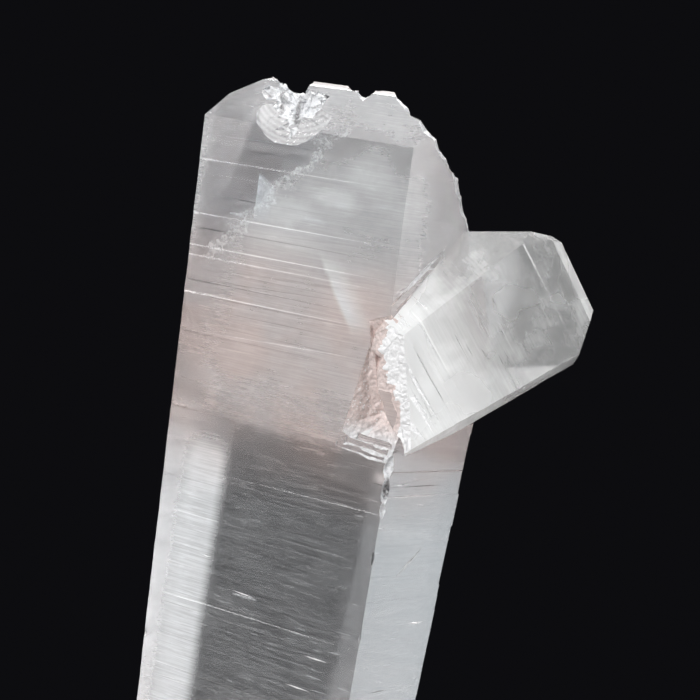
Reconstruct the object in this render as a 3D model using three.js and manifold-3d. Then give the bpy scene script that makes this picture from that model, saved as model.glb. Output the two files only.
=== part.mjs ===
// A lemurian quartz crystal: an upright six-sided prism that widens a little towards its
// chisel-shaped tip, with fine ledges across its faces, and a smaller crystal grown out of its
// front right edge. It is one solid. Millimetres, +Z up, front towards -Y.
// The crystal is cut off flat where it grew on rock: that cut lies on z = 0, and the centre of
// the cut is the origin.
import * as THREE from "three";
import { mergeVertices } from "three/addons/utils/BufferGeometryUtils.js";
import Module from "manifold-3d";

const wasm = await Module();
wasm.setup();

// Driving dimensions. Azimuths are in degrees from the front (-Y) towards the right (+X),
// tilts in degrees above the horizontal, distances from the growth line of each crystal.
const BASE_CENTRE = new THREE.Vector2(-2.9, 17.9); // centre of the cut, seen from the growth line
const CAP_TILT = 38.2; // a rhombohedral face's normal stands this far above the prism's

const MAIN = {
  // prism faces: [height, distance] pairs; the right face steps back above the side crystal;
  // the ledges are lower on the front and right faces
  faces: [
    { az: -21, at: [[0, 11.6], [200, 11.6]], ledged: 0.35 },
    { az: 39, at: [[0, 20.7], [136, 20.7], [141, 17.4], [200, 15.8]], ledged: 0.4 },
    { az: 96, at: [[0, 20.1], [70, 22.0], [120, 23.8], [200, 26.0]] },
    { az: 159, at: [[0, 44.4], [200, 46.0]], ledged: 0.5 },
    { az: 219, at: [[0, 48.3], [200, 45.1]] },
    { az: 278, at: [[0, 22.6], [200, 27.85]] },
  ],
  // faces of the tip: azimuth, tilt, distance
  caps: [
    [-20.6, 39.5, 120.25], // front
    [-21, 63, 165.1], // narrow bevel along the ridge
    [-84, 39.5, 132.4], // left
    [-60, 80, 182.7], // clipped left end of the ridge
    [159, 36.8, 106.85], // large back face
    [219, CAP_TILT, 123], // back left
    [99, CAP_TILT, 124.5], // back right
  ],
  top: 190,
  ledge: { gap: [1.3, 3.4], step: [0.05, 0.2], range: [-0.28, 0.06], seed: 11 },
};

const SIDE = {
  origin: new THREE.Vector3(8.6, -9.9, 134.9), // on its growth line, inside the main crystal
  axis: [107, 38.2], // azimuth and tilt of its growth line
  roll: 88.6, // turn of its front face about that line, from straight up
  faces: [
    { az: 0, at: [[-3, 9.0], [40, 9.0]] },
    { az: 60, at: [[-3, 10.96], [40, 12.7]] },
    { az: 120, at: [[-3, 8.8], [40, 8.8]] },
    { az: 180, at: [[-3, 12], [40, 12]] },
    { az: 240, at: [[-3, 15.1], [40, 15.1]] },
    { az: 300, at: [[-3, 11.5], [40, 15.65]] },
  ],
  caps: [
    [0.7, CAP_TILT, 28.5], // narrow front face
    [60, CAP_TILT, 28.5], // lower corner
    [179.6, CAP_TILT, 16.56], // large back face
    [-22.8, 8.8, 17.2], // small upper corner
    [-117, 42.7, 27.6], // upper back face
  ],
  bottom: -3,
  top: 40,
  ledge: { gap: [0.9, 2.1], step: [0.015, 0.05], range: [-0.08, 0.02], seed: 5 },
};

const NICKS = 24; // small bruises along the edges
const DASHES = { main: [62, 24, 22, 34, 20, 20], side: [20, 7, 3, 0, 0, 8] }; // per face

const rad = THREE.MathUtils.degToRad;
const V = (x, y, z) => new THREE.Vector3(x, y, z);

// A repeatable series of numbers between 0 and 1.
function series(seed) {
  let a = seed * 2654435761;
  return (lo = 0, hi = 1) => {
    a = (a + 0x6d2b79f5) | 0;
    let t = Math.imul(a ^ (a >>> 15), 1 | a);
    t = (t + Math.imul(t ^ (t >>> 7), 61 | t)) ^ t;
    return lo + (((t ^ (t >>> 14)) >>> 0) / 4294967296) * (hi - lo);
  };
}

// The unit direction at an azimuth and a tilt.
function direction(az, tilt = 0) {
  const a = rad(az), t = rad(tilt);
  return V(Math.sin(a) * Math.cos(t), -Math.cos(a) * Math.cos(t), Math.sin(t));
}

// A closed geometry as a solid, turned outwards if its faces point in.
function solid(geometry) {
  const g = geometry.clone();
  g.deleteAttribute("normal");
  g.deleteAttribute("uv");
  const m = mergeVertices(g, 1e-4);
  const p = m.attributes.position.array;
  const t = new Uint32Array(m.index.array);
  const a = V(0, 0, 0), b = V(0, 0, 0), c = V(0, 0, 0);
  let volume = 0;
  for (let i = 0; i < t.length; i += 3) {
    a.fromArray(p, 3 * t[i]);
    b.fromArray(p, 3 * t[i + 1]);
    c.fromArray(p, 3 * t[i + 2]);
    volume += a.dot(b.cross(c));
  }
  if (volume < 0)
    for (let i = 0; i < t.length; i += 3) [t[i + 1], t[i + 2]] = [t[i + 2], t[i + 1]];
  return new wasm.Manifold(
    new wasm.Mesh({ numProp: 3, vertProperties: p, triVerts: t }),
  );
}

function indexed(points, index) {
  const g = new THREE.BufferGeometry();
  g.setAttribute(
    "position",
    new THREE.Float32BufferAttribute(points.flatMap((p) => [p.x, p.y, p.z]), 3),
  );
  g.setIndex(index);
  return g;
}

// Everything beyond the plane n . p = d, as a large block.
function beyond(n, d) {
  const size = 600;
  const g = new THREE.BoxGeometry(size, size, size);
  g.applyQuaternion(new THREE.Quaternion().setFromUnitVectors(V(0, 0, 1), n));
  const c = n.clone().multiplyScalar(d + size / 2);
  return solid(g.translate(c.x, c.y, c.z));
}

function between(pairs, z) {
  let k = 1;
  while (k < pairs.length - 1 && z > pairs[k][0]) k++;
  const [z0, v0] = pairs[k - 1], [z1, v1] = pairs[k];
  return v0 + ((v1 - v0) * (z - z0)) / (z1 - z0);
}

// The levels where a crystal's faces step in or out, with every face's offset between them.
function ledges(spec) {
  const { gap, step, range, seed } = spec.ledge;
  const r = series(seed);
  const bands = [];
  let z = spec.bottom ?? 0;
  let off = spec.faces.map(() => 0);
  while (z < spec.top) {
    const next = Math.min(z + r(gap[0], gap[1]), spec.top);
    bands.push({ from: z, to: spec.top - next < 1 ? spec.top : next, off });
    z = bands[bands.length - 1].to;
    off = off.map((o, i) => {
      if (r() < 0.42) return o;
      const height = spec.faces[i].ledged ?? 1;
      const move = (r() < 0.5 ? -1 : 1) * r(step[0], step[1]) * height;
      return THREE.MathUtils.clamp(o + move, range[0] * height, range[1] * height);
    });
  }
  return bands;
}

// A point on a face of a crystal, across the face by u (-1 to 1) and along the axis by z.
function onFace(spec, bands, i, u, z) {
  const n = spec.faces.length;
  const corner = (k) => cornerAt(spec, offsetAt(bands, z), k, z);
  return corner((i + n - 1) % n).lerp(corner(i), 0.5 + 0.5 * u);
}

function offsetAt(bands, z) {
  return (bands.find((b) => z <= b.to) ?? bands[bands.length - 1]).off;
}

// The corner between face k and the next, at height z.
function cornerAt(spec, off, k, z) {
  const j = (k + 1) % spec.faces.length;
  const f = spec.faces[k], g = spec.faces[j];
  const n = direction(f.az), m = direction(g.az);
  const p = between(f.at, z) + off[k], q = between(g.at, z) + off[j];
  const det = n.x * m.y - n.y * m.x;
  return V((p * m.y - q * n.y) / det, (n.x * q - m.x * p) / det, z);
}

// A crystal about +Z: the stepped prism, cut by the faces of its tip.
function crystal(spec, bands) {
  const lip = 0.14; // half the height of a ledge's riser
  const rings = [];
  bands.forEach((b, k) => {
    const lo = k ? b.from + lip : b.from;
    const hi = k < bands.length - 1 ? b.to - lip : b.to;
    const knots = spec.faces
      .flatMap((f) => f.at.map((p) => p[0]))
      .filter((z) => z > lo + 0.2 && z < hi - 0.2);
    for (const z of [lo, ...[...new Set(knots)].sort((a, c) => a - c), hi])
      rings.push(spec.faces.map((_, i) => cornerAt(spec, b.off, i, z)));
  });
  const n = spec.faces.length;
  const points = rings.flat();
  const index = [];
  for (let r = 0; r + 1 < rings.length; r++)
    for (let i = 0; i < n; i++) {
      const a = r * n + i, b = r * n + ((i + 1) % n);
      index.push(a, b, b + n, a, b + n, a + n);
    }
  for (let i = 1; i + 1 < n; i++) {
    index.push(0, i + 1, i);
    const t = (rings.length - 1) * n;
    index.push(t, t + i, t + i + 1);
  }
  let body = solid(indexed(points, index));
  for (const [az, tilt, d] of spec.caps) body = body.subtract(beyond(direction(az, tilt), d));
  return body;
}

// A bowl-shaped tool. Its rim is an outline [across, along] in the plane at `at` with normal
// `out`; its floor falls to `depth` at the centre and is broken by `rough`.
function bowl({ at, out, up = V(0, 0, 1), rim, centre = [0, 0], depth, rings = 3, rough = 0,
  power = 2, proud = 2, seed = 1 }) {
  const r = series(seed);
  const along = up.clone().addScaledVector(out, -up.dot(out)).normalize();
  const across = along.clone().cross(out);
  const place = (a, b, h) =>
    at.clone().addScaledVector(across, a).addScaledVector(along, b).addScaledVector(out, h);
  const n = rim.length;
  const points = rim.map(([a, b]) =>
    place(centre[0] + (a - centre[0]) * 1.12, centre[1] + (b - centre[1]) * 1.12, proud));
  for (let k = 0; k < rings; k++) {
    const s = 1 - k / rings;
    for (const [a, b] of rim) {
      const w = k ? r(-0.5, 0.5) / rings : 0;
      const h = -depth * (1 - s ** power) + (k ? rough * r(-1, 1) : 0);
      points.push(place(centre[0] + (a - centre[0]) * (s + w * 0.6),
        centre[1] + (b - centre[1]) * (s + w * 0.6), h));
    }
  }
  points.push(place(centre[0], centre[1], -depth), place(centre[0], centre[1], proud));
  const low = points.length - 2, high = points.length - 1;
  const index = [];
  for (let i = 0; i < n; i++) {
    const j = (i + 1) % n;
    for (let k = 0; k < rings; k++) {
      const a = k * n + i, b = k * n + j;
      index.push(a, b, b + n, a, b + n, a + n);
    }
    index.push(rings * n + i, rings * n + j, low, high, j, i);
  }
  return solid(indexed(points, index));
}

// A tool with one broken surface: a grid of points, pushed away from the crystal.
function sheet(grid, push) {
  const rows = grid.length, cols = grid[0].length, count = rows * cols;
  const points = grid.flat();
  points.push(...grid.flat().map((p) => p.clone().add(push)));
  const index = [];
  const quad = (a, b, c, d) => index.push(a, b, c, a, c, d);
  for (let i = 0; i + 1 < rows; i++)
    for (let j = 0; j + 1 < cols; j++) {
      const a = i * cols + j;
      quad(a, a + 1, a + cols + 1, a + cols);
      quad(a + count, a + cols + count, a + cols + 1 + count, a + 1 + count);
    }
  for (let i = 0; i + 1 < rows; i++) {
    const a = i * cols, b = a + cols - 1;
    quad(a, a + cols, a + cols + count, a + count);
    quad(b, b + count, b + cols + count, b + cols);
  }
  for (let j = 0; j + 1 < cols; j++) {
    const a = j, b = (rows - 1) * cols + j;
    quad(a, a + count, a + 1 + count, a + 1);
    quad(b, b + 1, b + 1 + count, b + count);
  }
  return solid(indexed(points, index));
}

// A shallow dash: a stretched octahedron sunk half into a face, its other half standing clear.
function dash(at, along, out, length, width, depth) {
  const g = new THREE.OctahedronGeometry(1).scale(length / 2, width / 2, depth);
  const p = g.attributes.position;
  for (let i = 0; i < p.count; i++) if (p.getZ(i) > 0) p.setZ(i, 0.7);
  const side = out.clone().cross(along).normalize();
  g.applyMatrix4(new THREE.Matrix4().makeBasis(along, side, out).setPosition(at));
  return solid(g);
}

// A bruise: a dented ball of broken facets.
function bruise(at, size, r, detail = 0) {
  const g = mergeVertices(
    new THREE.IcosahedronGeometry(1, detail).deleteAttribute("normal").deleteAttribute("uv"));
  const p = g.attributes.position;
  for (let i = 0; i < p.count; i++) {
    const s = r(0.78, 1.18);
    p.setXYZ(i, p.getX(i) * s * size.x + at.x, p.getY(i) * s * size.y + at.y,
      p.getZ(i) * s * size.z + at.z);
  }
  return solid(g);
}

// Main crystal.
const mainBands = ledges(MAIN);
let main = crystal(MAIN, mainBands);

// Broken right shoulder: its outline [x, z] seen from the front, bowed from front to back.
const SHOULDER = [
  [2.0, 187.5], [2.9, 184.2], [3.7, 182.7], [5.6, 181.4], [6.5, 180.5], [8.0, 179.9],
  [9.3, 178.4], [11.1, 177.2], [12.2, 175.5], [13.5, 174.3], [14.6, 172.5], [15.9, 171.4],
  [16.3, 169.6], [17.1, 168.1], [17.5, 166.4], [18.5, 164.9], [19.2, 163.0], [21, 158],
  [22.6, 151], [24.2, 144], [26.3, 136], [29.5, 128],
];
{
  const r = series(23);
  const eye = V(2.75, -203, 168.5);
  const grid = SHOULDER.map(([x, z], i) => {
    const row = [];
    for (let y = -26; y <= 62; y += 5.5) {
      const lift = i > 1 && i < SHOULDER.length - 2 ? r(-0.42, 0.3) : 0;
      const inward = 0.0018 * (y - 2) ** 2 + lift * Math.min(1, Math.abs(y - 1) / 6);
      row.push(V(x + (y * (x - eye.x)) / 203 - 0.8 * inward, y + r(-1, 1),
        z + (y * (z - eye.z)) / 203 - 0.5 * inward));
    }
    return row;
  });
  main = main.subtract(sheet(grid, V(45, 0, 30)));
}

// Chips in the ridge of the tip.
{
  const r = series(31);
  main = main.subtract(bruise(V(-13.4, -1.0, 183.5), V(3.3, 6.5, 3.0), r, 1));
  main = main.subtract(bruise(V(-15.4, 1.0, 183.9), V(1.9, 5, 1.9), r));
  main = main.subtract(bruise(V(-11.6, 2.8, 183.9), V(1.6, 4.5, 2.3), r));
  main = main.subtract(bruise(V(-1.7, -6.2, 184.0), V(1.9, 5, 2.9), r, 1));
  main = main.subtract(bruise(V(-3.6, -4.2, 184.0), V(1.7, 4.2, 1.6), r));
  main = main.subtract(bruise(V(0.4, -6, 184.4), V(2.4, 5, 1.6), r));
  main = main.subtract(bruise(V(3.6, -7.5, 183.6), V(1.0, 3, 1.2), r));
}

// Flake scar below the large chip, a shallow half round over the front edge of the tip.
const arc = (n, fn) => Array.from({ length: n }, (_, i) => fn((i / n) * 2 * Math.PI));
main = main.subtract(bowl({
  at: V(-12.2, -5.4, 177.4), out: direction(-21, 24), depth: 0.8, power: 1.4, rings: 4,
  rough: 0.09, proud: 3, seed: 41,
  rim: arc(20, (t) => [6.4 * Math.cos(t), Math.sin(t) > 0 ? 3.6 * Math.sin(t)
    : 6.1 * Math.sin(t) * (1 - 0.16 * Math.abs(Math.cos(t)))]),
}));
// Crushed wedge inside the scar.
main = main.subtract(bowl({
  at: V(-12.4, -4.9, 179.2), out: direction(-21, 38), depth: 3.2, power: 1, rings: 3,
  rough: 0.7, proud: 3, seed: 47, centre: [0.1, 0.4],
  rim: [[-5.6, 1.4], [-4.1, -1.3], [-2.5, -3.6], [0.3, -5.9], [2.1, -4.6], [3.9, -2.3],
    [5.1, 0.2], [5.3, 1.9], [3.8, 3.1], [2.8, 4.9], [-0.6, 5.4], [-3.5, 4.7], [-4.4, 2.8]],
}));
main = main.subtract(bowl({
  at: V(-8.3, -4.3, 180.7), out: direction(-30, 30), depth: 0.7, power: 1, rings: 1, proud: 2,
  rim: [[-1.7, 1.3], [-0.4, -1.6], [1.9, 0.9]], centre: [-0.3, 0.2],
}));
main = main.subtract(bowl({
  at: V(-16.9, -1.2, 180.2), out: direction(-10, 44), depth: 0.6, power: 1, rings: 1, proud: 2,
  rim: [[-2.2, 0.4], [-0.9, -1.2], [1.9, -1.4], [1.2, 1.1], [-0.6, 1.6]],
}));

// Pit at the foot of the side crystal, deepest against its root, with terraces at the bottom.
const FRONT = direction(-21);
const onFront = (x, z, sink = 0) =>
  V(x, (11.6 - FRONT.x * x) / FRONT.y, z).addScaledVector(FRONT, -sink);
main = main.subtract(bowl({
  at: V(7.5, -15.3, 136), out: FRONT, depth: 3.6, power: 1.1, rings: 4, rough: 0.34, proud: 3,
  seed: 53, centre: [2.2, -1.5],
  rim: [[-2.6, 11.2], [-1.9, 7.4], [-2.7, 2.4], [-3.4, -2.6], [-4.2, -7.2], [-4.5, -10.4],
    [-1.6, -10.2], [1.3, -10.7], [3.9, -10.7], [6.6, -8.0], [7.2, -3], [5.6, 3], [4.2, 9],
    [1.2, 13.2]],
}));
{
  const across = V(0, 0, 1).cross(FRONT).negate().normalize();
  for (const [x, z, sink, length, high] of
    [[6.9, 126.3, 0.35, 8.4, 0.9], [7.6, 127.2, 0.85, 7.4, 0.9], [8.6, 128.1, 1.5, 6.2, 1.0]]) {
    const g = new THREE.BoxGeometry(length, 3, high);
    const m = new THREE.Matrix4().makeBasis(across.clone().negate(), FRONT.clone().negate(), V(0, 0, 1));
    g.rotateY(rad(4)).applyMatrix4(m);
    const c = onFront(x, z, sink - 1.5);
    main = main.subtract(solid(g.translate(c.x, c.y, c.z)));
  }
}
// Chips down the front right edge under the pit.
{
  const r = series(61);
  for (const [x, y, z, a, b, c] of [[12, -17.1, 124.6, 1.3, 1.0, 2.4], [12.1, -17, 120.8, 1.0, 1.1, 2.6],
    [12, -17, 117.6, 0.6, 0.7, 1.4], [12, -17.1, 96, 0.4, 0.5, 1.3], [12, -17.1, 71, 0.5, 0.5, 2.2],
    [12, -17.1, 41, 0.7, 0.7, 1.5]])
    main = main.subtract(bruise(V(x, y, z), V(a, b, c), r));
}

// Dashes across the faces of a crystal.
function dashes(body, spec, bands, counts, seed, range, size) {
  const r = series(seed);
  counts.forEach((count, i) => {
    const out = direction(spec.faces[i].az);
    const along = V(0, 0, 1).cross(out).normalize();
    for (let k = 0; k < count; k++) {
      const z = range[0] + ((k + r(0.1, 0.9)) / count) * (range[1] - range[0]);
      const at = onFace(spec, bands, i, r(-0.8, 0.8), z);
      const skew = along.clone().applyAxisAngle(out, rad(r(-3, 3)));
      body = body.subtract(dash(at, skew, out, r(1.8, 5) * size, r(0.2, 0.4) * size, r(0.04, 0.09)));
    }
  });
  return body;
}
main = dashes(main, MAIN, mainBands, DASHES.main, 71, [4, 172], 1);

// Two growth grooves on the right face, just above the side crystal, and a scratch below it.
{
  const right = direction(39, 1.6);
  const line = (a, b, width, depth, n) => {
    const d = b.clone().sub(a);
    const out = n.clone().addScaledVector(d, -n.dot(d) / d.lengthSq()).normalize();
    main = main.subtract(dash(a.clone().add(b).multiplyScalar(0.5), d.clone().normalize(), out,
      d.length(), width, depth));
  };
  line(V(7.6, -15.9, 149.6), V(17.6, -7.7, 163.0), 1.0, 0.45, right);
  line(V(8.9, -14.9, 149.4), V(18.1, -7.3, 161.6), 0.8, 0.5, right);
  line(V(15.8, -13.8, 105.6), V(20.4, -10.1, 111.6), 0.5, 0.28, direction(39));
}

// Side crystal, made about +Z and then turned into place.
const sideBands = ledges(SIDE);
const axis = direction(...SIDE.axis);
const upright = V(0, 0, 1).addScaledVector(axis, -axis.z).normalize();
const face = upright.clone().applyAxisAngle(axis, rad(SIDE.roll));
const pose = new THREE.Matrix4()
  .makeBasis(face.clone().negate().cross(axis), face.clone().negate(), axis)
  .setPosition(SIDE.origin);
let side = dashes(crystal(SIDE, sideBands), SIDE, sideBands, DASHES.side, 83, [3, 22], 0.62);
side = side.transform(pose.elements);

// Rough root: where the side crystal's front ends in a broken step down to the main crystal.
{
  const r = series(97);
  // [z, x and y on the front face's end, x and y on the foot of the step]
  const rows = [
    [156, 7.6, -19.3, 4.6, -14.6], [150, 9.4, -18.8, 6.8, -15.1], [147.5, 10.1, -18.6, 7.4, -15.3],
    [145.3, 10.8, -18.4, 6.3, -14.9], [143.0, 11.3, -18.3, 6.0, -14.8], [141.4, 11.8, -18.2, 7.8, -15.5],
    [139.2, 12.3, -18.1, 7.6, -15.4], [137, 12.9, -18.0, 8.1, -15.6], [135, 13.5, -17.9, 9.0, -15.9],
    [133, 14.0, -17.8, 10.2, -16.3], [131, 14.3, -17.7, 11.5, -16.8], [129, 14.6, -17.6, 13.5, -17.5],
    [126, 15.2, -17.5, 14.6, -17.6],
  ];
  const grid = rows.map(([z, x, y, u, v]) => [
    V(x + 2.4, y - 5, z),
    V(x, y, z),
    V(x * 0.68 + u * 0.32 + r(-0.4, 0.4), y * 0.68 + v * 0.32 + r(-0.1, 0.35), z + r(-0.5, 0.5)),
    V(x * 0.36 + u * 0.64 + r(-0.4, 0.4), y * 0.36 + v * 0.64 + r(-0.1, 0.35), z + r(-0.5, 0.5)),
    V(u, v, z + r(-0.4, 0.4)),
    V(u - 0.3, v + 3, z),
    V(u - 7, v + 14, z),
  ]);
  side = side.subtract(sheet(grid, V(-40, -22, 0)));
}
// Chip in the tip of the side crystal.
{
  const r = series(101);
  side = side.subtract(bruise(V(34.6, -9.3, 163.4), V(1.0, 1.6, 1.1), r));
  side = side.subtract(bruise(V(33.6, -9.0, 164.4), V(0.9, 1.6, 0.7), r));
}

let quartz = main.add(side);

// Bruises along the edges, all round.
{
  const r = series(113);
  for (let k = 0; k < NICKS; k++) {
    const i = Math.floor(r(0, 6));
    const z = r(6, 150);
    const p = cornerAt(MAIN, offsetAt(mainBands, z), i, z);
    if (p.x > 5 && p.y < 0 && z > 110) continue;
    quartz = quartz.subtract(bruise(p, V(r(0.25, 0.6), r(0.25, 0.6), r(0.5, 1.8)), r));
  }
}

// The solid back as a mesh, with its base centred on the origin.
function geometryOf(body) {
  const m = body.getMesh();
  const g = new THREE.BufferGeometry();
  g.setAttribute("position", new THREE.Float32BufferAttribute(m.vertProperties, 3));
  g.setIndex(new THREE.BufferAttribute(new Uint32Array(m.triVerts), 1));
  g.translate(-BASE_CENTRE.x, -BASE_CENTRE.y, 0);
  const flat = g.toNonIndexed();
  flat.computeVertexNormals();
  return flat;
}

const crystalMesh = new THREE.Mesh(
  geometryOf(quartz),
  new THREE.MeshStandardMaterial({ color: 0xd9dbdd, roughness: 0.22, metalness: 0 }),
);
crystalMesh.name = "quartz_crystal";

const group = new THREE.Group();
group.name = "lemurian_quartz";
group.add(crystalMesh);

export default group;
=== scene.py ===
import math

import bmesh
import bpy
from mathutils import Matrix, Vector, noise


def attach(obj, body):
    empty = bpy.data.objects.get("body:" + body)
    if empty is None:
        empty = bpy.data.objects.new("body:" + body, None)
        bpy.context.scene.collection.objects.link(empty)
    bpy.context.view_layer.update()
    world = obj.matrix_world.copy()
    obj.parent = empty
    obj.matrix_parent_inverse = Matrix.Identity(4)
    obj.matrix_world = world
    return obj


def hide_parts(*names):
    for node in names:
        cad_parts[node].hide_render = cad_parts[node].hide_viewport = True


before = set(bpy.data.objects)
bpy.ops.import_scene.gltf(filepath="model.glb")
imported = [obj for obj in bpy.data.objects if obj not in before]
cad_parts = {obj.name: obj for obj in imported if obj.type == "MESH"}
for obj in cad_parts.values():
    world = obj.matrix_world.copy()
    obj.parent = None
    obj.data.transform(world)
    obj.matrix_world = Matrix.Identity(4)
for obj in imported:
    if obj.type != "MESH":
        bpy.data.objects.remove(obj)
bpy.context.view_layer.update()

# Viewpoint
# A short telephoto looks along +Y and slightly down. It is rolled, so the crystal leans to
# the right in the picture, and the crystal's lower end is outside the picture.
GROWTH_LINE = Vector((0.0029, -0.0179, 0))  # where the main growth line stands on the floor
cam_data = bpy.data.cameras.new("viewpoint")
cam_data.sensor_width = 36
cam_data.lens = 36 * 1200 / 700
cam_data.clip_start = 0.005
camera = bpy.data.objects.new("viewpoint", cam_data)
bpy.context.scene.collection.objects.link(camera)
bpy.context.scene.camera = camera
down, roll = math.radians(8), math.radians(9.33)
look = Vector((0, math.cos(down), -math.sin(down)))
upright = Vector((0, math.sin(down), math.cos(down)))
across = Vector((1, 0, 0))
cam_x = across * math.cos(roll) + upright * math.sin(roll)
cam_y = upright * math.cos(roll) - across * math.sin(roll)
aim = GROWTH_LINE + Vector((0.00275, 0, 0.140))
pose = Matrix((cam_x, cam_y, -look)).transposed().to_4x4()
pose.translation = aim - look * 0.205
camera.matrix_world = pose

# Crystal
# One solid of quartz: the main point and the smaller one grown from its front right edge.
# It is a fine copy of the frame's solid, merged; where it is broken, its facets are divided
# into small ones and roughened, and every facet is marked as broken or not, main or side.
MM = 0.001
noise.seed_set(7)  # the same crumbs in every run


def facing(azimuth, tilt=0):
    a, t = math.radians(azimuth), math.radians(tilt)
    return Vector((math.sin(a) * math.cos(t), -math.cos(a) * math.cos(t), math.sin(t)))


FRONT, RIGHT, LEFT, REAR, REAR_LEFT = (facing(a) for a in (-21, 39, 278, 159, 219))
TIP_FRONT, TIP_BACK, TIP_BACK_RIGHT = facing(-20.6, 39.5), facing(159, 36.8), facing(99, 38.2)
RIDGE_BEVEL = facing(-21, 63)  # the narrow face along the ridge
PRISM, PRISM_UP, PRISM_LOW = facing(16.1, 1.1), facing(-35.2, 38.9), facing(60.5, -44)  # side crystal
SIDE_TIP = facing(48.4, 23)  # the side crystal's narrow tip face
GROWTH_LINES = (  # face, distance and widening per mm of height, ledges' height, share of it kept
    (FRONT, 11.6, 0, 0.16, 0), (LEFT, 22.6, 0.02625, 0.3, 0.2), (RIGHT, 20.7, 0, 0.16, 0.2),
    (REAR, 44.4, 0.008, 0.3, 0.15), (REAR_LEFT, 48.3, -0.016, 0.3, 0.15),
    (PRISM, 23.53, 0, 0.16, 0.05), (PRISM_UP, 98.83, 0, 0.16, 0.05))
CHIP = Vector((-12.4, -3.6, 179.5))  # the flake scar below the ridge, with its crushed wedge
CHIP_REACH, NOTCH_REACH = 8.6, 7
MARKS = (  # two growth grooves above the side crystal and one scratch below it
    (Vector((7.6, -15.9, 149.6)), Vector((17.6, -7.7, 163.0))),
    (Vector((8.9, -14.9, 149.4)), Vector((18.1, -7.3, 161.6))),
    (Vector((15.8, -13.8, 105.6)), Vector((20.4, -10.1, 111.6))))
NOTCH = Vector((-1.5, -5.0, 184.0))  # the small second chip
SCAR, RIM, PIT, CRUSHED = 0.42, 0.6, 0.75, 1.0  # how rough and white each broken place is
SAME_FACE = 0.06  # directions closer than this, in radians, are one face's
FINEST = 1.5e-6  # corners closer than this are one


def growth(p):  # millimetres from the foot of the main growth line
    return (p - GROWTH_LINE) / MM


def on_side_crystal(p):
    beyond_right = p.dot(RIGHT) > (20.95 if p.z < 138 else 18.4)
    return p.z > 120 and p.x > 6 and (beyond_right or p.dot(FRONT) > 11.9) and p.y < 6


def is_side(p, n):
    return on_side_crystal(p) or (p.z > 120 and min(n.angle(PRISM, 9), n.angle(PRISM_UP, 9)) < 0.07)


def from_line(p, a, b):
    share = max(0, min(1, (p - a).dot(b - a) / (b - a).length_squared))
    return (p - a - (b - a) * share).length


def brokenness(p, n):
    def off(*flats):
        return min(n.angle(flat, 9) for flat in flats) > SAME_FACE

    azimuth = math.degrees(math.atan2(n.x, -n.y))
    stepped = any(abs((azimuth - k + 180) % 360 - 180) < 5 for k in (-21, 39, 96, 159))
    if (p - CHIP).length < CHIP_REACH:
        if not off(TIP_FRONT, FRONT, TIP_BACK, RIDGE_BEVEL):
            return 0
        wedge = abs(p.x + 12.2) < 0.8 * (p.z - 173.8)
        return CRUSHED if wedge else SCAR
    if (p - NOTCH).length < NOTCH_REACH and p.z > 180.6:
        return RIM if off(TIP_FRONT, TIP_BACK, RIDGE_BEVEL) else 0
    if 4.4 < p.x < 15.8 and p.y < -12.6 and 121 < p.z < 152:
        if not off(FRONT, PRISM, PRISM_UP, PRISM_LOW, RIGHT):
            return 0
        return CRUSHED if on_side_crystal(p) else PIT
    if 9.8 < p.x < 14 and p.y < -14.8 and 112 < p.z < 128:
        return 0 if stepped else PIT
    for a, b in MARKS:
        if from_line(p, a, b) < 1.2 and off(RIGHT, facing(39, 1.6), FRONT, PRISM_UP, PRISM):
            return RIM
    shoulder = p.x > 2.4 and p.z > 126 and n.x > 0.25 and not on_side_crystal(p)
    return RIM if shoulder and not stepped and off(TIP_BACK_RIGHT) else 0


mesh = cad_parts["quartz_crystal"].data.copy()
mesh.materials.clear()
bm = bmesh.new()
bm.from_mesh(mesh)
bmesh.ops.remove_doubles(bm, verts=bm.verts, dist=FINEST)
for v in bm.verts:  # growth lines on these faces are fainter than the solid's
    p = growth(v.co)
    for flat, far, widening, near, keep in GROWTH_LINES:
        above = p.dot(flat) - far - widening * p.z
        on_main = p.z < 120 if flat == RIGHT else flat not in (PRISM, PRISM_UP)
        if abs(above) < near and (on_main or (p.z > 124 and p.x > 6)):
            v.co -= flat * above * (1 - keep) * MM
bm.normal_update()
side_mark = bm.faces.layers.float.new("side")
broken_mark = bm.faces.layers.float.new("broken")
bevel_mark = bm.faces.layers.float.new("bevel")
for f in bm.faces:
    f[broken_mark] = brokenness(growth(f.calc_center_median()), f.normal)
for longest in (1.4, 0.75, 0.42, 0.27):  # longest edge left in a broken place, in mm
    edges = [e for e in bm.edges if e.calc_length() > longest * MM
             and any(f[broken_mark] for f in e.link_faces)]
    bmesh.ops.subdivide_edges(bm, edges=edges, cuts=1, use_grid_fill=False)
    bmesh.ops.triangulate(bm, faces=[f for f in bm.faces if len(f.verts) > 3])
bm.normal_update()
moves = {}
for v in bm.verts:
    level = min(f[broken_mark] for f in v.link_faces)
    sound = [f.normal for f in v.link_faces if not f[broken_mark]]
    if len(sound) == len(v.link_faces):
        continue
    p = growth(v.co)
    if sound:  # on the rim of a break it wanders along the sound face
        wander = noise.noise_vector(p * 1.3) * 0.16
        for n in sound:
            wander -= n * wander.dot(n)
        moves[v] = wander * MM if len(sound) < 4 else Vector()
        continue
    crumbs = noise.fractal(p * 1.9, 1.0, 2.1, 4, noise_basis="PERLIN_ORIGINAL")
    gaps, centres = noise.voronoi(p * 0.8)
    if level == SCAR:
        ring = Vector((p.x + 12.2, 0, p.z - 182.5)).length
        deep = 0.035 * math.sin(ring * 7.5) + 0.02 * crumbs
    elif level == CRUSHED and p.z > 170:  # flat splinters, each tipped its own way
        deep = 1.5 * noise.noise_vector(centres[0] * 7.3).dot(p * 0.8 - centres[0]) - 0.15
    else:
        deep = level * (0.12 * crumbs + 0.3 * (gaps[1] - gaps[0]) - 0.12)
    moves[v] = v.normal * deep * MM
for v, move in moves.items():
    v.co += move
bmesh.ops.triangulate(bm, faces=bm.faces)
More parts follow.
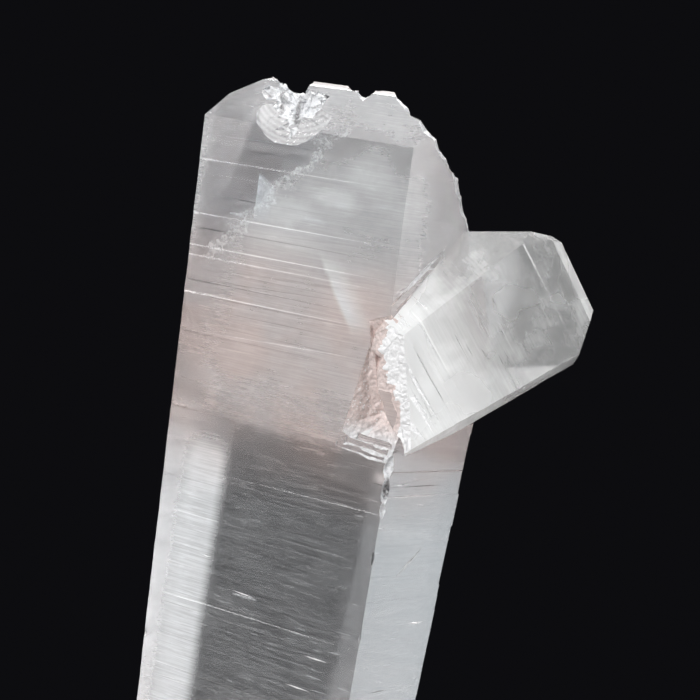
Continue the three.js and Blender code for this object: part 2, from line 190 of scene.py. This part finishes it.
for f in bm.faces:
    centre = growth(f.calc_center_median())
    f[side_mark] = 1.0 if is_side(centre, f.normal) else 0.0
    bevel = f[side_mark] and f.normal.angle(SIDE_TIP, 9) < 0.07
    f[bevel_mark] = 1.0 if bevel else 0.0
bm.to_mesh(mesh)
bm.free()
crystal = bpy.data.objects.new("crystal", mesh)
bpy.context.scene.collection.objects.link(crystal)
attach(crystal, "root")
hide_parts("quartz_crystal")

# Quartz
# Clear, colourless quartz with a satin, finely striped skin. The stripes lie across each
# crystal's own growth line; the upper part and the side crystal's foot are milky, with pink
# painted on as a reflection of warm light from below, and broken places are rough and white.
quartz = bpy.data.materials.new("quartz")
quartz.use_nodes = True
nodes, links = quartz.node_tree.nodes, quartz.node_tree.links
skin = nodes["Principled BSDF"]


def node(kind, **values):
    made = nodes.new("ShaderNode" + kind)
    for key, value in values.items():
        if hasattr(made, key):
            setattr(made, key, value)
        else:
            made.inputs[key.replace("_", " ")].default_value = value
    return made


def calc(operation, a, b=None, clamp=False):
    made = node("Math", operation=operation, use_clamp=clamp)
    for socket, value in zip(made.inputs, (a, b)):
        if value is None:
            continue
        if isinstance(value, (int, float)):
            socket.default_value = value
        else:
            links.new(value, socket)
    return made.outputs[0]


def ramp(value, lo, hi, out_lo=0.0, out_hi=1.0):
    made = node("MapRange", interpolation_type="SMOOTHSTEP")
    links.new(value, made.inputs[0])
    for socket, number in zip(made.inputs[1:5], (lo, hi, out_lo, out_hi)):
        socket.default_value = number
    return made.outputs[0]


def cloud(vector, scale, detail=3.0, roughness=0.5, distortion=0.0):
    made = node("TexNoise", Scale=scale, Detail=detail, Roughness=roughness, Distortion=distortion)
    links.new(vector, made.inputs["Vector"])
    return made.outputs[0]


def placed(vector, location=(0, 0, 0), rotation=(0, 0, 0), scale=(1, 1, 1)):
    made = node("Mapping")
    made.inputs["Location"].default_value = location
    made.inputs["Rotation"].default_value = rotation
    made.inputs["Scale"].default_value = scale
    links.new(vector, made.inputs["Vector"])
    return made.outputs[0]


def blend(factor, a, b):
    made = node("Mix", data_type="RGBA")
    links.new(factor, made.inputs[0])
    for socket, value in ((made.inputs[6], a), (made.inputs[7], b)):
        if isinstance(value, tuple):
            socket.default_value = (*value, 1)
        else:
            links.new(value, socket)
    return made.outputs[2]


def attribute(name):
    made = node("Attribute", attribute_name=name)
    return made.outputs["Fac"]


place = node("TexCoord").outputs["Object"]
main_mm = placed(place, location=tuple(-GROWTH_LINE / MM), scale=(1000, 1000, 1000))
SIDE_FOOT, SIDE_GROWTH = Vector((8.6, -9.9, 134.9)), facing(107, 38.2)
turn = SIDE_GROWTH.rotation_difference(Vector((0, 0, 1)))
side_mm = placed(main_mm, location=tuple(-(turn @ SIDE_FOOT)), rotation=tuple(turn.to_euler()))
side, broken_here, bevel = attribute("side"), attribute("broken"), attribute("bevel")


def across_growth(length, pitch):  # strokes this long and this far apart, in mm
    mixed = node("Mix", data_type="VECTOR")
    on_main = placed(main_mm, scale=(1 / length, 1 / length, 1 / pitch))
    on_side = placed(side_mm, scale=(1 / length, 1 / length, 0.6 / pitch))
    links.new(side, mixed.inputs[0])
    links.new(on_main, mixed.inputs[4])
    links.new(on_side, mixed.inputs[5])
    return mixed.outputs[1]


def add(*terms):
    total = terms[0]
    for term in terms[1:]:
        total = calc("ADD", total, term)
    return total


def times(*terms):
    total = terms[0]
    for term in terms[1:]:
        total = calc("MULTIPLY", total, term)
    return total


xyz = node("SeparateXYZ")
links.new(main_mm, xyz.inputs[0])
width, rearward, height = xyz.outputs
along = node("SeparateXYZ")
links.new(side_mm, along.inputs[0])
reach = along.outputs[2]

stripes = cloud(across_growth(3.0, 0.28), 1.0, detail=2.0, roughness=0.55)
brush = cloud(across_growth(8.0, 0.22), 1.0, detail=4.0, roughness=0.6)
patches = cloud(main_mm, 0.085, detail=2.5)
drift = cloud(main_mm, 0.30, detail=4.0, roughness=0.6)
flecks = ramp(cloud(across_growth(3.6, 0.42), 1.0, detail=3.0, roughness=0.5), 0.56, 0.74)
flecks = times(flecks, ramp(patches, 0.40, 0.60, 0.25, 1.0))
flecks = times(flecks, ramp(height, 118, 134, 1.0, 0.45))
grit = cloud(main_mm, 1.6, detail=4, roughness=0.65)


def spot(x, z, across_x, up_z):  # a soft round or oval patch on the front
    middle = (-x / across_x, 0, -z / up_z)
    there = placed(main_mm, location=middle, scale=(1 / across_x, 0, 1 / up_z))
    far = node("VectorMath", operation="LENGTH")
    links.new(there, far.inputs[0])
    return ramp(add(far.outputs["Value"], times(drift, 1.4), -0.7), 1.1, 0.2)


depth = add(times(width, 0.358), times(rearward, 0.934), 11.6)  # behind the front face

# A wispy white band runs up the front from lower left to upper right; above it the quartz
# is clearer and looks darker.
over_band = add(times(width, -0.779), times(height, 0.627), -113.7, times(drift, 9.0), -4.5)
band_line = times(ramp(calc("ABSOLUTE", over_band), 1.3, 0.1), ramp(grit, 0.38, 0.62))
band_line = times(band_line, ramp(height, 149, 153), ramp(height, 178, 172))
clear_left = times(ramp(over_band, -2.5, 4.0), ramp(height, 177.5, 173.5))
clear_left = times(clear_left, ramp(width, -26.5, -23.5))

# The upper half is milky, less so at its left and right sides and at the back, with a few
# soft clouds and a small clearer patch.
milk = times(ramp(height, 112, 140), ramp(patches, 0.30, 0.70, 0.75, 1.0))
to_right = add(width, times(height, 0.1))
milk = times(milk, ramp(to_right, 25.5, 30.5, 1.0, 0.28), ramp(width, -26, -14, 0.40, 1.0))
milk = times(milk, ramp(rearward, 4, 18, 1.0, 0.35))
clear_patch = spot(2.5, 173.0, 12, 5)
main_haze = add(times(milk, 0.27), times(clear_left, -0.24), times(clear_patch, -0.12))
for x, z, wide, tall, strength in (
        (-11.0, 162.0, 5.5, 3.2, 0.14), (1.3, 170.6, 5.0, 4.2, 0.15), (-3.3, 165.0, 4.5, 2.2, 0.16),
        (-10.0, 157.0, 8.5, 3.6, 0.10), (1.5, 149.5, 5.0, 4.0, 0.08)):
    main_haze = add(main_haze, times(spot(x, z, wide, tall), strength))

# A leaning veil, sharp on its left side and fading out to the right.
over_veil = add(times(width, 0.847), times(height, 0.531), -78.76, times(drift, 0.8), -0.4)
veil = times(ramp(over_veil, -0.3, 0.5), ramp(over_veil, 4.6, 0.3), ramp(height, 143.5, 147.5))
veil = times(veil, ramp(height, 157, 154))
left_edge = times(ramp(width, -24.3, -27.0), ramp(height, 148, 156))
main_haze = add(main_haze, times(veil, 0.17), times(band_line, 0.34), times(left_edge, 0.10))
near_tip = ramp(height, 174, 178)
low_down = ramp(height, 108, 120, 0.02, 0.0)
main_haze = add(main_haze, times(near_tip, -0.05), times(drift, 0.14), low_down)

# The lower left of the front carries a painted highlight: haze whitens it up to a soft upright
# edge, standing in for the bright strip of light that comes back off the rear left face.
painted_strip_highlight = times(ramp(width, -16.3, -13.7, 1.0, 0.0), ramp(width, -23.5, -19.5))
painted_strip_highlight = times(painted_strip_highlight, ramp(height, 124, 118), ramp(brush, 0.3, 0.7, 0.85, 1.1))
painted_strip_highlight = times(painted_strip_highlight, ramp(depth, 3, 0.5))
main_haze = add(main_haze, times(painted_strip_highlight, 0.58))

# The side crystal is milky at its foot and on its narrow tip face, with soft wisps between.
wisps = cloud(side_mm, 0.16, detail=4, roughness=0.5, distortion=0.2)
foot = ramp(reach, 7, 22, 0.55, 0.0)
side_haze = add(times(ramp(wisps, 0.45, 0.72), 0.20), foot, times(bevel, 0.22), 0.17)
haze = node("Mix", data_type="FLOAT")
links.new(side, haze.inputs[0])
links.new(calc("MAXIMUM", main_haze, 0.04), haze.inputs[2])
links.new(side_haze, haze.inputs[3])
brushed = times(ramp(brush, 0.35, 0.72), ramp(side, 0, 1, 0.13, 0.10))
brushed = times(brushed, ramp(height, 120, 178, 1.0, 0.45))
brushed = times(brushed, ramp(clear_left, 0, 1, 1.0, 0.35))
haze = add(haze.outputs[0], brushed, times(flecks, ramp(side, 0, 1, 0.20, 0.06)))
behind = calc("MAXIMUM", ramp(depth, 9.5, 13, 1.0, 0.40), side)  # the far faces are clearer
haze = times(haze, behind)

# Breaks: crushed quartz is white with clear splinters; the flake scar is smooth and rippled.
splinters = node("TexVoronoi", Scale=0.8)
links.new(main_mm, splinters.inputs["Vector"])
shade = node("SeparateColor")
links.new(splinters.outputs["Color"], shade.inputs[0])
pit = times(ramp(height, 127, 132), ramp(height, 154, 150), ramp(width, 15, 13))
splinter_shade = add(ramp(shade.outputs[0], 0.15, 0.45, 0.35, 1.0), times(pit, 0.4))
splinter_shade = add(splinter_shade, ramp(broken_here, 0.9, 0.7, 0.0, 0.5))
rough_white = times(ramp(grit, 0.35, 0.65, 0.5, 0.9), calc("MINIMUM", splinter_shade, 1.0))
ring = node("VectorMath", operation="LENGTH")
links.new(placed(main_mm, location=(12.2, 0, -182.5), scale=(1, 0, 1)), ring.inputs[0])
ripple = calc("SINE", times(ring.outputs["Value"], 7.5))
scar_white = add(times(ripple, 0.08), times(ramp(ring.outputs["Value"], 4.5, 8.5), 0.26))
white = node("Mix", data_type="FLOAT")
links.new(calc("GREATER_THAN", broken_here, 0.5), white.inputs[0])
links.new(scar_white, white.inputs[2])
links.new(times(rough_white, broken_here), white.inputs[3])
dark_splinters = add(
    spot(12.2, 121.3, 1.4, 2.0), spot(-6.9, 181.0, 1.6, 1.1),
    spot(-12.0, 178.0, 0.5, 2.4), spot(-14.6, 178.0, 0.7, 1.4))
broken = calc("GREATER_THAN", broken_here, 0.1)
haze = add(haze, times(broken, white.outputs[0]), times(broken, dark_splinters, -0.7))
clearness = calc("SUBTRACT", 1.0, haze, clamp=True)
links.new(clearness, skin.inputs["Transmission Weight"])

# Colours: pink painted in the upper middle and in the pit, a painted reflection of warm light
# from below; a grey pink ridge, its pink painted the same way.
# painted reflection: pink where warm light from below would show through the upper middle
painted_pink_reflection = times(ramp(height, 112, 126), ramp(height, 162, 147))
painted_pink_reflection = times(painted_pink_reflection, ramp(patches, 0.35, 0.65, 0.5, 1.0))
tint = blend(clear_left, (0.87, 0.89, 0.91), (0.82, 0.87, 0.92))
tint = blend(painted_pink_reflection, tint, (0.92, 0.77, 0.73))
tint = blend(veil, tint, (0.92, 0.92, 0.93))
tint = blend(side, tint, (0.90, 0.91, 0.91))
# the pit's pink is a painted reflection of warm light from below
broken_tint = blend(pit, (0.90, 0.91, 0.93), (0.78, 0.66, 0.63))
broken_tint = blend(side, broken_tint, (0.94, 0.94, 0.95))
tint = blend(broken, tint, broken_tint)
# the ridge is painted a darker grey pink; its pink is a painted reflection of warm light from below
ridge = ramp(height, 182.6, 183.0)
tint = blend(ridge, tint, (0.62, 0.57, 0.56))
links.new(tint, skin.inputs["Base Color"])

# Sheen and relief: satin, with fine stripes 2.5 micrometres high and rubble in the breaks.
sheen = add(times(patches, 0.10), times(milk, 0.05), times(side, 0.06), times(ridge, 0.3), 0.14)
links.new(sheen, skin.inputs["Roughness"])

relief = node("Bump", Strength=1.0, Distance=0.0000025)
links.new(stripes, relief.inputs["Height"])
rubble = node("Bump", Strength=1.0, Distance=0.0002)
links.new(calc("MULTIPLY", grit, broken_here), rubble.inputs["Height"])
links.new(relief.outputs[0], rubble.inputs["Normal"])
links.new(rubble.outputs[0], skin.inputs["Normal"])
skin.inputs["IOR"].default_value = 1.544

inside = node("VolumeAbsorption")
inside.inputs["Color"].default_value = (0.90, 0.88, 0.875, 1)
inside.inputs["Density"].default_value = 10
links.new(inside.outputs[0], nodes["Material Output"].inputs["Volume"])
mesh.materials.append(quartz)

# Veils
# A thin white film of tiny bubbles just under the front face: an upright blade, sharp on its
# left side and fading out to the right.
veil_mesh = bpy.data.meshes.new("veils")
bm = bmesh.new()
soft = bm.verts.layers.float.new("soft")
LOW_LEFT, LOW_RIGHT = Vector((-16.3, 159.6)), Vector((-13.8, 159.4))
HIGH_LEFT, HIGH_RIGHT = Vector((-16.5, 167.4)), Vector((-13.0, 165.2))
TO_FRONT, VEIL_DEEP, VEIL_BOW, VEIL_THICK = 11.6, 0.25, 0.1, 0.00004
grid = bmesh.ops.create_grid(bm, x_segments=24, y_segments=24, size=1.0)
for v in grid["verts"]:
    u, w = v.co.x / 2 + 0.5, v.co.y / 2 + 0.5
    x, z = LOW_LEFT.lerp(LOW_RIGHT, u).lerp(HIGH_LEFT.lerp(HIGH_RIGHT, u), w)
    y = (TO_FRONT - VEIL_DEEP - VEIL_BOW * math.sin(math.pi * u) - x * FRONT.x) / FRONT.y
    v.co = GROWTH_LINE + Vector((x, y, z)) * MM
    v[soft] = (1 - u) ** 0.6 * min(1, u * 24) * min(1, 9 * w + 0.3) * min(1, 9 * (1 - w))
bmesh.ops.solidify(bm, geom=bm.faces[:], thickness=VEIL_THICK)
bm.to_mesh(veil_mesh)
bm.free()
veils = bpy.data.objects.new("veils", veil_mesh)
bpy.context.scene.collection.objects.link(veils)
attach(veils, "root")
film = bpy.data.materials.new("veil film")
film.use_nodes = True
nodes, links = film.node_tree.nodes, film.node_tree.links
film_skin = nodes["Principled BSDF"]
film_mm = placed(node("TexCoord").outputs["Object"], scale=(1000, 1000, 1000))
puffs = cloud(film_mm, 0.9, detail=4, roughness=0.6)
links.new(times(attribute("soft"), ramp(puffs, 0.25, 0.6, 0.6, 1.0)), film_skin.inputs["Alpha"])
links.new(ramp(puffs, 0.2, 0.8, 0.5, 0.8), film_skin.inputs["Roughness"])
links.new(blend(puffs, (0.95, 0.95, 0.96), (0.99, 0.99, 0.99)), film_skin.inputs["Base Color"])
veil_mesh.materials.append(film)

# Long bubbles
# Flat lens-shaped pockets of milky quartz lying across the growth, just under the front face.
bubble_mesh = bpy.data.meshes.new("long bubbles")
bm = bmesh.new()
for x, z, length, thick in (
        (-6.3, 161.1, 4.0, 0.9), (-2.6, 164.2, 2.6, 0.8), (4.4, 165.0, 3.0, 0.7),
        (0.2, 154.9, 5.9, 0.6), (-19.4, 159.9, 2.4, 0.4), (-8.0, 97.0, 4.6, 0.35)):
    ball = bmesh.ops.create_uvsphere(bm, u_segments=32, v_segments=14, radius=0.5)
    for v in ball["verts"]:
        lumps = 1 + 0.35 * noise.noise(v.co * 3 + Vector((x, z, 0)))
        sideways = v.co.x * length * math.cos(math.radians(21))
        y = (11.4 - (x + sideways) * FRONT.x) / FRONT.y + v.co.y * 0.3
        v.co = GROWTH_LINE + Vector((x + sideways, y, z + v.co.z * thick * lumps)) * MM
bm.to_mesh(bubble_mesh)
bm.free()
bubbles = bpy.data.objects.new("long_bubbles", bubble_mesh)
bpy.context.scene.collection.objects.link(bubbles)
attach(bubbles, "root")
frost = bpy.data.materials.new("bubble frost")
frost.use_nodes = True
nodes, links = frost.node_tree.nodes, frost.node_tree.links
frost_skin = nodes["Principled BSDF"]
frost_mm = placed(node("TexCoord").outputs["Object"], scale=(1000, 1000, 1000))
specks = cloud(frost_mm, 2.2, detail=3, roughness=0.6)
links.new(ramp(specks, 0.35, 0.65, 0.15, 0.8), frost_skin.inputs["Alpha"])
links.new(ramp(specks, 0.2, 0.8, 0.5, 0.8), frost_skin.inputs["Roughness"])
links.new(blend(specks, (0.92, 0.93, 0.95), (0.98, 0.98, 0.98)), frost_skin.inputs["Base Color"])
bubble_mesh.materials.append(frost)

# Studio
# Large soft lights: one low on the right, whose light comes back off the rear left face; one
# behind on the left, seen through the right face; one high on the front right; a fill in
# front and one overhead.
def softbox(name, azimuth, tilt, far, size, power, colour=(1, 1, 1)):
    toward = facing(azimuth, tilt)
    light = bpy.data.lights.new(name, "AREA")
    light.shape = "RECTANGLE"
    light.size, light.size_y = size
    light.energy = power
    light.color = colour
    lamp = bpy.data.objects.new(name, light)
    bpy.context.scene.collection.objects.link(lamp)
    lamp.location = Vector((0.0055, 0, 0.12)) + toward * far
    lamp.rotation_euler = toward.to_track_quat("Z", "Y").to_euler()
    lamp.visible_camera = False


softbox("low right", 73, -29, 0.56, (0.30, 0.28), 0.36)
softbox("rear left", 221, -10, 0.5, (0.26, 0.42), 0.21, (0.9, 0.96, 1.0))
softbox("front right", 62, 18, 0.55, (0.25, 0.25), 1.9)
softbox("front fill", -38, 28, 0.6, (0.4, 0.4), 3.75)
softbox("overhead", 165, 62, 0.5, (0.4, 0.4), 4.5)

world = bpy.data.worlds.new("dark room")
world.use_nodes = True
world.node_tree.nodes["Background"].inputs[0].default_value = (0.004, 0.004, 0.005, 1)
bpy.context.scene.world = world
bpy.context.scene.view_settings.view_transform = "Standard"
bpy.context.scene.cycles.max_bounces = 12
bpy.context.scene.cycles.transmission_bounces = 12
bpy.context.scene.cycles.glossy_bounces = 6

# Floor
# A plain pale round table top, just under the crystal's flat cut.
floor_mesh = bpy.data.meshes.new("floor")
disc = bmesh.new()
bmesh.ops.create_circle(disc, cap_ends=True, segments=96, radius=0.125)
bmesh.ops.translate(disc, verts=disc.verts, vec=(0, -0.015, -0.0002))
disc.to_mesh(floor_mesh)
disc.free()
floor = bpy.data.objects.new("floor", floor_mesh)
bpy.context.scene.collection.objects.link(floor)
pale = bpy.data.materials.new("pale floor")
pale.use_nodes = True
pale.node_tree.nodes["Principled BSDF"].inputs["Base Color"].default_value = (0.78, 0.75, 0.735, 1)
pale.node_tree.nodes["Principled BSDF"].inputs["Roughness"].default_value = 0.8
floor_mesh.materials.append(pale)
